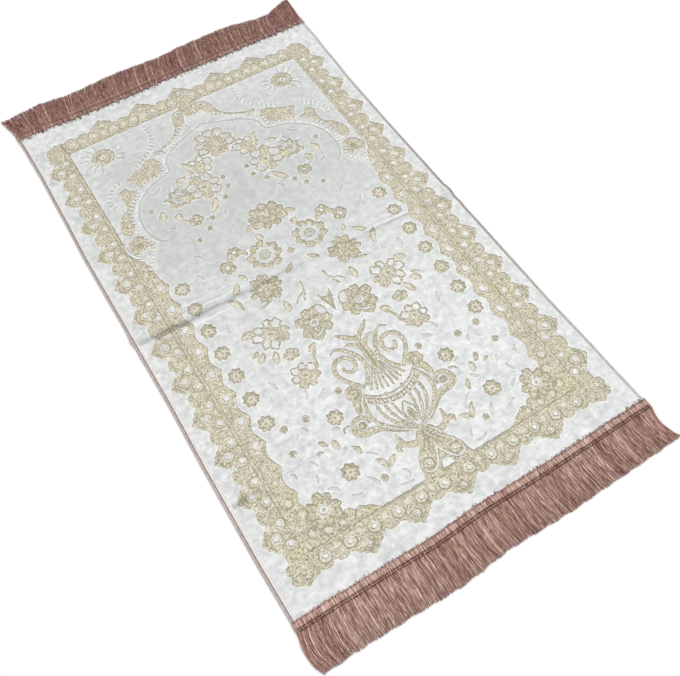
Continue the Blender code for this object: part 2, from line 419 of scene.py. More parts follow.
def side_bands():
    """The outer bands and their lobes, and the wavy bands inside them."""
    near, far = NEAR_BAND[0], FAR_BAND[1]
    yield BEIGE, [(BAND_INNER - 1, near), (BAND_OUTER, near), (BAND_OUTER, far), (BAND_INNER - 1, far)]
    for v in SIDE_LOBES:
        yield BEIGE, [(b, a) for a, b in lobe(v, BAND_OUTER, 25, 21.5)]
        yield BEIGE, oval(BAND_OUTER + 1, v + 38, 6.5, 12, count=12)
    top = (INNER_BAND + 1, 650), (INNER_BAND + 7, 676), (BAND_INNER + 1, 692)
    yield BEIGE, [(BAND_INNER + 1, 66), (INNER_BAND, 66), *wavy_edge(), *top]
    for u in (BAND_INNER, BAND_INNER + 6):
        yield LINE, ribbon([(u, 70), (u, 986)], 0.8)
    for v in SIDE_LOBES:
        yield from eyelet(284, v, 5, 10, 1.2)
        yield LINE, curl(BAND_OUTER - 2, v, 15, -60, 60, 8, 1.2)
        for step in (-18, 18):
            yield from eyelet(268.5, v + step, 4.6, 9, 1.0)
            yield CREAM, bloom(288, v + 1.15 * step, 3.6)
    for v in SCALLOPS[2:]:
        yield CREAM, bloom(239, v, 8, 7)
        yield WHITE, oval(239, v, 5, 6.4, 15, 12)


def end_bands():
    for (low, high), sign, inset in ((NEAR_BAND, -1, 0), (FAR_BAND, 1, FAR_INSET)):
        edge = low if sign < 0 else high
        middle = (low + high) / 2
        yield BEIGE, [(-BAND_OUTER, low), (BAND_OUTER, low), (BAND_OUTER, high), (-BAND_OUTER, high)], ALONE
        for u in END_LOBES:
            yield BEIGE, [(a, edge + sign * b) for a, b in lobe(u, 0, 31, 23)]
            yield from eyelet(u, edge + 5 * sign, 2.6, 6.5)
            yield LINE, curl(u, edge, 15, 25 * sign, 155 * sign, 8, 1.2)
        for u in (42, 126, 212, 240):
            yield BEIGE, oval(u, edge, 10, 5.5, count=12)
        for u in END_DOTS:
            yield from eyelet(u, middle + 2 * sign, 4.2, 10.5, 1.5 - 0.5 * sign)
            yield CREAM, bloom(u + 21, middle + 3, 3.8)
        yield BEIGE, [(u - inset * (u > 270), middle + sign * v) for u, v in CORNER_BLOCK]
        for u, v, radius in ((270, 12, 6), (286, 6, 6), (278, -7, 7)):
            yield from eyelet(u, middle + v * sign, 0.4 * radius, radius)
    for v in (NEAR_BAND[1] + 1.5, FAR_BAND[0] + 1.5):
        yield LINE, ribbon([(-BAND_INNER, v), (BAND_INNER, v)], 2), ALONE


def corner_flowers():
    """The beige clusters in the two near corners inside the border."""
    yield BEIGE, [
        (256, 66), (256, 150), (229, 150), (226, 134), (190, 106), (182, 94), (175, 97), (168, 96),
        (163, 89), (152, 91), (145, 85), (137, 83), (130, 76), (119, 69), (119, 66),
    ]
    yield from petals(202, 113, 29, 8)
    yield CREAM, bloom(202, 113, 12, 8, 0.16)
    yield WHITE, bloom(202, 113, 7.4, 6, 0.12)
    yield BEIGE, circle(202, 113, 2.6, 8)
    rings = (234, 92, 8), (232, 124, 9), (187, 82, 7), (160, 80, 6), (243, 150, 8), (211, 84, 8)
    for u, v, radius in rings:
        yield LINE, curl(u, v, radius, 3 * v, 3 * v + 240, 10, 1.5, 0.8)
        yield CREAM, bloom(u, v, 0.45 * radius)
    yield LINE, bloom(228, 97, 4.5)
    yield LINE, ribbon([(BAND_INNER - 2, 70.5), (119, 70.5)], 2)


# ---------------- rosettes, dots and leaves

SPOT = "u v radius"
ROSETTES = table(SPOT, *((206, 283 + 50.3 * i, 15) for i in range(7)), (108, 233, 15), (136, 143, 16))
DOTS = table(
    SPOT,
    (188, 258, 6.6), (149, 256, 6.6), (196, 215, 6.2), (96, 107, 6.2), (79, 271, 6.4), (178, 772, 5),
    (88, 699, 5.4), (103, 680, 5.4), (131, 665, 5), (45, 730, 5.4), (26, 776, 5), (27, 752, 4.6),
)
LEAF = "u v long wide aim bend"
LEAVES = table(
    LEAF,
    (147, 205, 19, 9, 235, 1.5), (160, 193, 12, 7, 200, 0), (132, 193, 20, 12, 90, 0),
    (108, 169, 22, 9, 65, 1.5), (86, 129, 27, 10, 61, 1.5), (70, 124, 23, 10, 138, -1.5),
    (73, 364, 22, 12, 150, 0), (155, 441, 26, 14, 160, -1.5), (161, 400, 18, 8, 150, 0),
    (155, 389, 24, 13, 140, 0), (134, 378, 28, 13, 110, 0), (67.5, 457, 29, 13, 90, 0),
    (100, 479, 22, 6, 165, 2), (25, 523, 25, 9, 145, 0), (104, 549, 22, 10, 65, 0),
    (128, 533, 30, 12, 130, 2.5), (143, 504, 36, 13, 245, -4), (36, 613, 18, 14, 60, 0),
    (77, 598, 20, 9, 62, 0), (164, 750, 26, 16, 110, 0), (140, 733, 22, 17, 100, 0),
    (72, 833, 42, 14, 62, 2), (71, 724, 40, 14, 125, 2), (98, 812, 26, 13, 165, 0),
    (108, 768, 26, 15, 20, 0), (138, 759, 16, 10, 30, 0),
)
# Sprigs shorn in the white field
SPRIGS = table(
    LEAF,
    (113, 112, 28, 5, 60, 2), (92, 150, 20, 4, 40, 2), (172, 132, 20, 4.5, 40, 2),
    (126, 178, 18, 4.5, 140, 2), (176, 184, 14, 4, 60, 0), (70, 84, 26, 4.5, 10, -3),
    (105, 282, 22, 5, 145, 2), (126, 292, 18, 4.5, 110, 0), (160, 240, 16, 4, 60, 2),
    (176, 236, 12, 4, 120, 0), (150, 632, 20, 4.5, 40, 0), (60, 700, 18, 4.5, 120, 0),
    (150, 812, 26, 4.5, 150, 3), (128, 800, 20, 4, 130, 0), (160, 715, 16, 4, 30, 0),
    (165, 335, 24, 4.5, 70, 2), (174, 470, 22, 4.5, 100, -2), (168, 590, 20, 4.5, 60, 2),
    (62, 98, 18, 3.6, 60, 2), (146, 108, 20, 3.6, 20, -2), (186, 160, 18, 3.6, 110, 2),
    (214, 182, 16, 3.6, 60, 2), (118, 216, 16, 3.6, 20, 2),
)
VEINED = 9  # leaves wider than this have a cream vein


def scattered():
    for u, v, radius in ROSETTES:
        yield BEIGE, star(u, v, radius, 0.8 * radius, 8)
        yield from petals(u, v, 0.86 * radius, 8, inset=0.6)
        yield CREAM, bloom(u, v, 0.42 * radius)
        yield LINE, circle(u, v, 0.11 * radius, 6)
    for u, v, radius in DOTS:
        yield BEIGE, bloom(u, v, radius, 6, 0.12)
        yield LINE, star(u, v, 0.5 * radius, 0.2 * radius, 4)
    for u, v, long, wide, aim, bend in LEAVES:
        yield BEIGE, leaf(u, v, long, wide, aim, bend)
        if wide > VEINED:
            yield CREAM, leaf(u, v, 0.6 * long, 0.18 * wide, aim, 0.6 * bend)


def sprigs():
    for one in SPRIGS:
        yield GROOVE, leaf(*one)


# ---------------- the vase

BOWL_SIDE = ((46, 240), (54, 229), (58.5, 216), (59, 201), (52.5, 186), (38, 170), (19, 156), (5, 147))
RIM = ((0, 211.5), (17.5, 214), (35, 221.5), (48, 232))


def vase_foot():
    """Two curled feet, the legs that cross over them, and the small curls at the stem."""
    yield BEIGE, trail(((18, 128), (32, 131), (43, 138), (52, 136), (50, 128)), 10, 5, 12)
    yield BEIGE, trail(((36, 134), (42, 146), (43, 158)), 6, 3, 6)
    yield BEIGE, [
        (0, 108), (0, 86), (6, 84), (12, 69), (47, 69), (42, 80), (40, 94), (34, 106), (26, 114), (14, 122),
    ]
    yield BEIGE, trail(((0, 152), (5, 139), (10, 126), (15, 110)), 23, 25, 7)
    curled = (0, 109), (6, 96), (14, 83), (25, 76), (35, 81), (38, 92), (33, 101)
    yield WHITE, trail(curled, 2.8, 1.4, 3.4)
    yield LINE, curl(25, 91, 9, 30, 330, 12, 2)
    yield CREAM, bloom(25, 91, 6)
    yield WHITE, bloom(25, 91, 3, 5, 0.15)
    yield LINE, trail(((2, 142), (8, 128), (20, 112)), 2)
    yield LINE, trail(((0, 132), (4, 122), (12, 108)), 2)
    yield WHITE, trail(((6, 146), (15, 134), (23, 120), (36, 110)), 2, 1, 1)


def lower_scrolls():
    """The scrolls that spring from the stem and curl up outside the bowl."""
    yield BEIGE, trail(((84, 208), (93, 202), (97, 209), (106, 208), (110, 201)), 4, 2, 3)
    yield from parted((
        (6, 147), (18, 153), (35, 164), (52, 177), (68, 183), (84, 184), (93, 195), (88, 209), (75, 212),
        (66, 204), (66, 196),
    ), 11.5, 4, 3)
    yield WHITE, curl(78, 198, 9, 20, 320, 14, 2.2)
    yield BEIGE, circle(78, 198, 7)
    yield LINE, curl(78, 198, 4, 0, 290, 8, 1.3)
    yield LINE, trail(((22, 152), (40, 163), (58, 175), (80, 178)), 1.5, 1)
    yield CREAM, trail(((18, 156), (38, 169), (56, 182), (70, 188)), 1.6, 1)


def vase_bowl():
    """White ribs between thin beige ones, a bud at the bottom, a beaded rim, and the neck's fan."""
    for share, wide in ((0.69, 5.4), (0.48, 5.0), (0.28, 4.0)):
        yield BEIGE, trail([(share * u, v) for u, v in BOWL_SIDE[1:]], wide, 1.2, 4)
    yield from parted(BOWL_SIDE, 6.6, 2.4, 5)
    yield WHITE, leaf(0, 176, 44, 21, 90), ALONE
    yield BEIGE, trail(((1, 200), (9, 187), (10, 172), (3, 152)), 2.2, 1)
    yield BEIGE, leaf(0, 173, 30, 15, 90), ALONE
    yield LINE, leaf(0, 174, 14, 5, 90), ALONE
    for foot, top in ((5, 0.5), (14, 3), (23, 6), (33, 10)):
        rib = (foot, 232 + 0.34 * foot), (0.84 * foot, 250), ((foot + top) / 2.2, 266), (top, 284)
        yield BEIGE, trail(rib, 4.2, 2.4, 3.2)
    yield BEIGE, trail([(u, v + 11) for u, v in RIM], 2.6)
    rim = curve(RIM, 6)
    for kind, wide in ((WHITE, 14.5), (BEIGE, 10)):
        yield kind, ribbon([(-u, v) for u, v in rim[3:0:-1]] + rim, wide)
    for i, (u, v) in enumerate(rim[::2]):
        yield CREAM if i % 2 else WHITE, petalled(u, v, 2.7, 5, 0.1, per_petal=2)
    for u, v in rim[1::2]:
        yield LINE, ribbon([(u, v - 3), (u, v + 3)], 1.1)


def volutes():
    """The big scrolls over the rim, their knobs, the stem between them and the leaves on top."""
    yield from parted((
        (56, 334), (46, 339), (35, 333), (25, 321), (16.5, 306), (14, 291), (20, 274), (33, 255),
    ), 7.5, 6.5, 2)
    yield from parted((
        (38, 253), (48, 266), (60, 281), (65.5, 297), (62, 312), (49.5, 320), (35, 316), (28, 304),
        (31, 293), (40, 289), (49, 294), (50, 303),
    ), 8, 5, 6.5)
    yield from parted(((28, 335), (18, 335), (8, 326), (3, 310)), 6, 5, 2)
    yield BEIGE, leaf(0, 305, 90, 17, 90), ALONE
    yield LINE, leaf(0, 298, 56, 4.5, 90), ALONE
    yield BEIGE, petalled(60, 254, 15, 7, 0.1)
    yield BEIGE, trail(((61, 246), (67, 232), (70, 216)), 13, 5, 12)
    yield LINE, curl(60, 254, 8, 40, 300, 10, 1.3)
    yield LINE, trail(((53, 243), (60, 234), (66, 222)), 1.3)
    yield WHITE, trail(((48, 262), (47, 250), (53, 238), (60, 226)), 2.4, 1.4, 1.4)
    yield BEIGE, trail(((31, 363), (21, 354), (11, 346), (1, 337)), 9.5, 8, 2)
    yield BEIGE, trail(((70, 360), (77, 352), (81, 342), (83, 330), (90, 322)), 5, 2.6, 5.5)


# ---------------- the flowers

def open_flower(u, v, radius, count, turn, closed, squash=1.0):
    """White petals with beige rims about a beige centre."""
    yield from petals(u, v, radius, count, turn, squash, 0.1 * radius, (BEIGE, WHITE), closed)
    yield BEIGE, star(u, v, 0.6 * radius, 0.34 * radius, count, turn + 180 / count)
    yield BEIGE, star(u, v, 0.5 * radius, 0.24 * radius, count, turn)
    yield CREAM, bloom(u, v, 0.22 * radius, 6)
    yield LINE, star(u, v, 0.16 * radius, 0.06 * radius, 5, turn)


def full_flower(u, v, radius, count, turn):
    """Beige petals with dark edges in two rounds, about a small white ring."""
    yield BEIGE, circle(u, v, 0.66 * radius, 16)
    yield from petals(u, v, radius, count, turn, inset=1.3)
    yield from petals(u, v, 0.58 * radius, count - 1, turn + 25)
    yield WHITE, bloom(u, v, 0.26 * radius, 6, 0.1)
    yield BEIGE, circle(u, v, 0.14 * radius, 8)


def ring_flower(u, v, radius, count):
    """A scalloped beige ring that is open at one place, and a fine rosette in its white middle."""
    yield BEIGE, circle(u, v, 0.84 * radius)
    yield from petals(u, v, radius, count, 60)
    yield WHITE, petalled(u, v, 0.62 * radius, count + 3, 0.14, 60)
    yield WHITE, ribbon([(u - 0.2 * radius, v + 0.4 * radius), (u - 0.5 * radius, v + 0.95 * radius)], 6)
    for kind, share in ((BEIGE, 0.34), (WHITE, 0.25), (BEIGE, 0.15)):
        yield kind, petalled(u, v, share * radius, 7, 0.3, per_petal=4)


def lower_flowers():
    yield from open_flower(109, 325, 26, 7, 100, (2, 3, 4))
    yield WHITE, curl(104, 331, 12, 60, 200, 8, 2.2, 1.2)
    yield from open_flower(119, 423, 34, 8, 95, (2, 3), 0.92)
    yield BEIGE, petalled(109, 371, 15, 5, 0.22, 90, 0.8)
    yield WHITE, curl(109, 368, 8, 30, 150, 6, 2, 1)
    yield from full_flower(45, 403, 34, 7, 75)
    yield BEIGE, oval(23, 421, 8.5, 14, -22, 14)
    yield WHITE, oval(23, 421, 6.2, 11.5, -22, 12)
    yield WHITE, trail(((55, 376), (42, 382), (27, 393)), 4.2, 1.5, 1.5)
    yield BEIGE, [
        (-12, 452), (-6, 442), (0, 439), (6, 442), (12, 452), (11, 436), (4, 420), (0, 404), (-4, 420),
        (-11, 436),
    ], ALONE
    yield LINE, trail(((1, 412), (4, 428), (9, 442)), 1.3)
    yield BEIGE, trail(((49.5, 452), (42.5, 462), (30.5, 467), (24.5, 476), (23, 490)), 3.6, 2.2, 2)
    yield BEIGE, trail(((36.5, 451), (29.5, 462), (27, 470)), 3.2, 3, 2)


def middle_flowers():
    yield BEIGE, circle(81, 507.5, 20)
    yield from petals(81, 507.5, 31, 11, 85, 0.94)
    yield from petals(81, 507.5, 20, 8, 70, 0.94)
    yield CREAM, curl(81, 507.5, 8, 20, 330, 12, 2.2)
    for path in spokes(81, 507.5, (10, 130, 250), (16, 22, 30)):
        yield WHITE, ribbon(path, 2.0, 2.6, 0.8)
    yield from ring_flower(46.5, 573.5, 33, 8)
    yield BEIGE, star(-2.5, 557, 8, 5.8, 4), ALONE
    yield from petals(117, 583, 15, 5, 140)
    yield from petals(92, 607, 14, 5, 60, 0.9)
    yield BEIGE, oval(105, 597, 13, 6, 140, 12)
    yield WHITE, trail(((98, 588), (106, 594), (116, 596)), 2.4, 1, 1)
    # the flower on the middle line
    yield BEIGE, oval(0, 650, 26, 18), ALONE
    yield from petals(0, 650, 38, 9, 90, 0.72, 1.3)
    yield from petals(0, 650, 21, 6, 60, 0.8, 1.3)
    for path in spokes(0, 650, (54, 100, 165, 230, 310), (20, 27, 33), 0.76):
        yield WHITE, ribbon(path, 2.6, 3, 1), ALONE
    yield WHITE, bloom(0, 651, 5.4, 6, 0.1), ALONE
    yield BEIGE, leaf(42, 640, 24, 12, 150)


def upper_flowers():
    yield BEIGE, trail(((96, 758), (112, 770), (126, 778), (150, 782)), 3.8, 2)
    yield from ring_flower(119, 774, 24, 8)
    yield from open_flower(67, 775, 35, 7, 70, (0, 4), 0.95)
    yield from open_flower(50, 826, 26, 6, 110, (3, 4))
    yield from petals(116, 710, 15, 5, 40, 0.85)
    yield BEIGE, trail(((128, 716), (138, 724), (146, 740)), 2.4)
    # the palmette under the arch's point
    yield from open_flower(0, 866, 42, 9, 90, (3, 4, 5), 0.84)
    yield BEIGE, petalled(0, 858, 24, 11, 0.16, 90, 0.8, 4)
    for path in spokes(0, 862, (-60, -20, 20, 60, 90), (12, 20), 0.84):
        yield WHITE, ribbon(path, 1.8, 1)


# ---------------- the arch

ARCH_LINE = (
    (0, 945), (24, 941), (45, 930), (62, 908), (84, 899), (104, 890), (113, 874), (115, 856), (128, 846),
    (150, 843), (171, 834), (191, 815), (207, 795), (214, 772), (215, 748), (212, 724), (206, 704),
    (212, 686), (224, 668), (236, 650),
)
ARCH_CONTOUR = (
    (0, 923), (64, 899), (84, 887), (98, 875), (103, 859), (106, 844), (124, 838), (146, 832), (168, 819),
    (188, 800), (200, 776), (205, 748), (202, 722), (192, 703), (180, 692),
)
ARCH_DASHES = (
    ((99, 982), (97, 955), (101, 936), (112, 918), (132, 902), (158, 888)),
    ((198, 869), (213, 863), (225, 851), (233, 838), (235, 824), (230, 810)),
)


def arch():
    """The arch's beige pieces, from its point down to the inner bands, and its beaded edge."""
    yield BEIGE, [
        (0, 992), (0, 958), (9, 955), (18, 962), (24, 950), (32, 936), (44, 926), (58, 923), (48, 938),
        (44, 958), (40, 974), (30, 981), (18, 984), (14, 992),
    ]
    yield BEIGE, trail(((46, 934), (62, 919), (84, 908), (104, 901)), 4.8, 3, 9)
    yield BEIGE, leaf(102, 899, 26, 10, 25)
    yield WHITE, ribbon(arc(25, 971, 6.5, -60, 190), 3.6, 1.5, 2)
    yield BEIGE, [
        (185, 868), (152, 881), (134, 893), (121, 893), (112, 881), (112, 852), (128, 848), (148, 844),
        (170, 838), (176, 852),
    ]
    yield BEIGE, [
        (178, 836), (190, 838), (198, 850), (209, 847), (216, 837), (211, 824), (212, 806), (219, 794),
        (210, 788), (200, 800), (190, 816),
    ]
    yield BEIGE, curve((
        (210, 792), (222, 796), (235, 782), (243, 765), (243, 751), (234, 741), (225, 745), (217, 760),
    ))
    yield BEIGE, curve((
        (202, 704), (212, 722), (221, 732), (236, 731), (247, 720), (247, 706), (238, 694), (226, 699),
        (214, 694),
    ))
    yield LINE, star(229, 713, 9, 4, 6)
    hook = (250, 738), (254, 716), (250, 698), (241, 686), (230, 685)
    yield LINE, trail(hook, 8.0, 4, 2)
    yield BEAD, trail(hook, 5.5, 3, 3)
    for spot, aim in evenly(curve(ARCH_LINE), 8.6):
        yield BEAD, oval(*spot, 5.4, 3.6, aim + 90, 10)
    for line in ARCH_DASHES:
        for spot, aim in evenly(curve(line), 9.5):
            yield GROOVE, leaf(*spot, 11, 4.6, aim + 105)
    yield GROOVE, ribbon(curve(ARCH_CONTOUR, 5), 2.6)


def spandrels():
    """Over the arch: a round flower on each side, with leaves shorn in the pile about it."""
    yield BEIGE, petalled(200, 946, 23.5, 13, 0.1, squash=0.95, per_petal=4)
    yield LINE, curl(200, 946, 13, 0, 280, 12, 1.6)
    yield WHITE, bloom(201, 945, 6.5, 5, 0.3)
    yield BEIGE, circle(201, 945, 2.2, 8)
    for aim in (12, 34, 56, 78, 150, 172, 194, 216, 290, 312, 334):
        yield GROOVE, leaf(*around(200, 946, 36, radians(aim), 31 / 36), 22, 3.6, aim, 2)


PARTS = (
    sprigs, end_bands, side_bands, corner_flowers, spandrels, arch, upper_flowers, middle_flowers,
    lower_flowers, scattered, vase_foot, lower_scrolls, vase_bowl, volutes,
)


def in_steps(outline):
    """An outline with points added along its long edges, so that it follows the folds."""
    spots = []
    for here, there in zip(outline, np.roll(outline, -1, axis=0)):
        count = ceil(np.linalg.norm(there - here) / LONGEST_EDGE)
        spots += [here + (there - here) * i / count for i in range(count)]
    return np.array(spots)


def uneven(outline):
    """The outline as the loom leaves it: pushed about a little, and the left band lags behind."""
    u, v = outline.T
    lag = LAG * v * np.clip((-u - INNER_BAND - 20) / 20, 0, 1)
    push_u = np.sin(0.41 * v + 1.3) * np.sin(0.23 * u) + 0.6 * np.sin(0.83 * u + 0.61 * v)
    push_v = np.sin(0.37 * u + 0.4) * np.sin(0.29 * v) + 0.6 * np.sin(0.71 * v - 0.67 * u)
    return outline + np.column_stack([UNEVEN * push_u, UNEVEN * push_v - lag])


def draw_pattern():
    """Patches over the cloth: pairs of a kind and an outline."""
    middle = (MIDDLE_LINE, -HALF_LONG / MM)
    patches = []
    for part in PARTS:
        for kind, outline, *alone in part():
            whole = np.array(outline, float)
            for image in (whole,) if alone else (whole, whole * (-1, 1)):
                patches.append((kind, uneven(in_steps(image)) + middle))
    return patches


# ---------------- from the chart to meshes

GRID_PAST = 8  # how far a grid goes past the rug's half width
GRID_JITTER = (0.2, 0.15)  # how far its points stray, as shares of its steps
RIM_FREE = 2.0  # no inner point comes nearer to the cloth's edge
SOLE_STEPS = (3 * WHITE_STEP, 2 * WHITE_STEP)
SOLE_FOLD_STEPS = (4 * WHITE_STEP, FOLD_STEP[1])
SOLE_SHARE = 0.985  # how much of the cloth the sole's inner points cover
SHARP = 50  # degrees between faces that meet in a sharp edge


def covers(outline, spots):
    """Which spots an outline goes round, by winding number, so that a stroke may cross itself."""
    xs, ys = spots.T
    winding = np.zeros(len(spots), int)
    for (ax, ay), (bx, by) in zip(outline, np.roll(outline, -1, axis=0)):
        side = (bx - ax) * (ys - ay) - (xs - ax) * (by - ay)
        winding += (ay <= ys) & (by > ys) & (side > 0)
        winding -= (ay > ys) & (by <= ys) & (side < 0)
    return winding != 0


def kinds_at(patches, spots):
    """The kind of the topmost patch at each spot, white where there is none."""
    kinds = np.full(len(spots), WHITE, dtype=object)
    for kind, outline in patches:
        low, high = outline.min(axis=0), outline.max(axis=0)
        near = np.flatnonzero(((spots >= low) & (spots <= high)).all(axis=1))
        kinds[near[covers(outline, spots[near])]] = kind
    return kinds


def cloth_outline():
    """The cloth's outline in the chart's units, inside both bindings and under both headings."""
    inset = BINDING_WIDE + CLEAR
    count = round(2 * CLOTH_END / MM / OUTLINE_STEP)
    rows = [-CLOTH_END + 2 * CLOTH_END * i / count for i in range(count + 1)]
    left = [((left_edge(y) + inset) / MM, y / MM) for y in rows]
    right = [((right_edge(y) - inset) / MM, y / MM) for y in rows]

    def end(a, b):
        across = round((b[0] - a[0]) / OUTLINE_STEP)
        return [(a[0] + (b[0] - a[0]) * i / across, a[1]) for i in range(1, across)]

    return np.array(left + end(left[-1], right[-1]) + right[::-1] + end(left[0], right[0])[::-1])


def grid(steps, low, high, chance):
    """Jittered points over a span of the cloth's length."""
    half = RUG_WIDE / 2 / MM + GRID_PAST
    (step_x, step_y), (stray_x, stray_y) = steps, GRID_JITTER
    rows = max(1, round((high - low) / step_y))
    count = int(2 * half / step_x)
    spots = []
    for row in range(rows):
        y = low + (row + 0.5) * (high - low) / rows
        for i in range(count):
            x = -half + (i + 0.5 + 0.5 * (row % 2)) * 2 * half / count
            aside = chance.uniform(-stray_x, stray_x) * step_x
            spots.append((x + aside, y + chance.uniform(-stray_y, stray_y) * step_y))
    return np.array(spots)


def scatter(patches, outline):
    """Inner points for the mesh: close together in the beige and on the folds."""
    chance = random.Random(5)
    end = CLOTH_END / MM
    low, high = (edge / MM for edge in FOLD_ZONE)
    calm = (WHITE_STEP, WHITE_STEP)
    spans = (calm, -end, low), (FOLD_STEP, low, high), (calm, high, end)
    white = np.vstack([grid(*span, chance) for span in spans])
    beige = grid((BEIGE_STEP, BEIGE_STEP), -end, end, chance)
    beige = beige[np.isin(kinds_at(patches, beige), THREADS)]
    spots = np.vstack([white[kinds_at(patches, white) == WHITE], beige])
    inner = outline * (1 - RIM_FREE / np.abs(outline).max(axis=1, keepdims=True))
    return spots[covers(inner, spots)]


def sole_spots(outline):
    """Inner points for the cloth's underside: few, but close together across the folds."""
    low, high = (edge / MM for edge in FOLD_ZONE)
    wide = grid(SOLE_STEPS, -CLOTH_END / MM, CLOTH_END / MM, random.Random(6))
    folded = grid(SOLE_FOLD_STEPS, low, high, random.Random(7))
    calm = (wide[:, 1] < low) | (wide[:, 1] > high)
    spots = np.vstack([wide[calm], folded])
    return spots[covers(outline * SOLE_SHARE, spots)]


def triangulate(outlines, spots, outline):
    """Triangles over the cloth that keep every outline as edges."""
    points, edges = [], []
    for line in outlines:
        first, size = len(points), len(line)
        points.extend(Vector(spot) for spot in line.tolist())
        edges += [(first + i, first + (i + 1) % size) for i in range(size)]
    points.extend(Vector(spot) for spot in spots.tolist())
    made = delaunay_2d_cdt(points, edges, [], 0, MERGE, False)
    places = np.array([tuple(spot) for spot in made[0]])
    triangles = np.array(made[2])
    return places, triangles[covers(outline, places[triangles].mean(axis=1))]


def border_edges(triangles):
    """Edges that only one of the triangles has, in that triangle's own direction."""
    edges = np.vstack([triangles[:, pair] for pair in ((0, 1), (1, 2), (2, 0))])
    size = triangles.max() + 1
    forward = edges[:, 0] * size + edges[:, 1]
    backward = edges[:, 1] * size + edges[:, 0]
    return edges[~np.isin(forward, backward)]


def ordered_loop(edges):
    """The corners of one closed loop of directed edges, in order."""
    following = dict(edges.tolist())
    start = int(edges[0][0])
    loop = [start]
    while following[loop[-1]] != start:
        loop.append(following[loop[-1]])
    return np.array(loop)


def to_metres(places, heights):
    """Points in metres: the chart's places, at heights over the cloth's underside."""
    x, y = places.T * MM
    return np.column_stack([x, y, floor_rise(x, y) + heights])


def add_object(name, data, place):
    made = bpy.data.objects.new(name, data)
    made.location = place
    bpy.context.scene.collection.objects.link(made)
    return made


def add_piece(name, points, faces, look, slot, **values):
    """A mesh piece that rides on the rug, with named values at its points."""
    mesh = bpy.data.meshes.new(name)
    mesh.from_pydata(np.asarray(points).tolist(), [], faces)
    mesh.materials.append(look)
    mesh.shade_smooth()
    mesh.set_sharp_from_angle(angle=radians(SHARP))
    for key, numbers in values.items():
        layer = mesh.attributes.new(key, "FLOAT", "POINT")
        layer.data.foreach_set("value", np.asarray(numbers, np.float32))
    made = add_object(name, mesh, SHIFT)
    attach(made, "root")
    return made


def as_list(*blocks):
    """Faces from arrays of triangles and of quads, as one list."""
    return [face for block in blocks for face in block.tolist()]


def ground_piece(places, triangles, kinds, outline):
    """The woven ground, a closed thin sheet. Its tint and shade is 1 on dark threads, and on the beige's
    edges as painted shade at the foot of the pile, and -1 on cream ones.
    """
    tint = np.zeros(len(places))
    tint[np.unique(triangles[kinds == CREAM])] = -1.0
    tint[np.unique(triangles[kinds == LINE])] = 0.95
    # painted shade along the beige's edges, at the foot of the pile
    tint[np.unique(border_edges(triangles[np.isin(kinds, THREADS)]))] = 1.0
    face = to_metres(places, GROUND_TOP + waves(*places.T * MM))
    rim = ordered_loop(border_edges(triangles))
    # the sole's first corners are the rim's, in the same order
    sole_places, sole_triangles = triangulate([places[rim]], sole_spots(outline), places[rim])
    sole = to_metres(sole_places, 0.0)
    first = len(face)
    loop = np.arange(len(rim))
    after = np.roll(loop, -1)
    walls = np.column_stack([rim[after], rim, first + loop, first + after])
    faces = as_list(triangles, first + sole_triangles[:, ::-1], walls)
    points = np.vstack([face, sole])
    tint = np.append(tint, np.zeros(len(sole)))
    return add_piece("rug_ground", points, faces, beige_ground(), "beige_ground", tint=tint)


def inwards(places, rim):
    """For each place, the mean direction into the region that the rim's edges go round."""
    along = places[rim[:, 1]] - places[rim[:, 0]]
    along /= np.linalg.norm(along, axis=1, keepdims=True)
    normal = np.column_stack([-along[:, 1], along[:, 0]])
    total = np.zeros_like(places)
    np.add.at(total, rim[:, 0], normal)
    np.add.at(total, rim[:, 1], normal)
    return total / np.maximum(np.linalg.norm(total, axis=1, keepdims=True), 0.6)


def pile_block(places, chosen, top):
    """One height of pile: its points, faces, and which points are on an edge."""
    rim = border_edges(chosen)
    edge = np.zeros(len(places))
    edge[np.unique(rim)] = 1.0
    wave = waves(*places.T * MM)
    inward = inwards(places, rim)
    levels = (TOP_INSET, top + LIP * edge), (SHOULDER_INSET, top - SHOULDER), (0.0, GROUND_TOP - PILE_SINK)
    points = np.vstack([to_metres(places + inward * inset, height + wave) for inset, height in levels])
    size = len(places)
    start, end = rim.T
    faces = [chosen]
    for above in (0, size):
        below = above + size
        faces.append(np.column_stack([start + below, end + below, end + above, start + above]))
    used = np.unique(np.concatenate([face.ravel() for face in faces]))
    number = np.zeros(len(points), int)
    number[used] = np.arange(len(used))
    return points[used], [number[face] for face in faces], np.tile(edge, 3)[used]


def pile_piece(places, triangles, kinds):
    """The cut pile: it stands over the ground with rounded edges, and is shorn low in its grooves."""
    points, faces, edges, shorn = [], [], [], []
    first = 0
    for kind, top in PILE_TOPS.items():
        spots, blocks, edge = pile_block(places, triangles[kinds == kind], top)
        points.append(spots)
        faces += [block + first for block in blocks]
        edges.append(edge * (kind != GROOVE))
        shorn.append(np.full(len(spots), float(kind == GROOVE)))
        first += len(spots)
    # the border value lights the pile's edges in its material: a painted highlight
    return add_piece("rug_pile", np.vstack(points), as_list(*faces), velvet_pile(), "velvet_pile",
                     border=np.concatenate(edges), shorn=np.concatenate(shorn))


def make_cloth():
    patches = draw_pattern()
    outline = cloth_outline()
    spots = scatter(patches, outline)
    places, triangles = triangulate([line for _, line in patches] + [outline], spots, outline)
    kinds = kinds_at(patches, places[triangles].mean(axis=1))
    ground = ground_piece(places, triangles, kinds, outline)
    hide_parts("rug_cloth")
    return ground, pile_piece(places, triangles, kinds)


# ---------------- threads

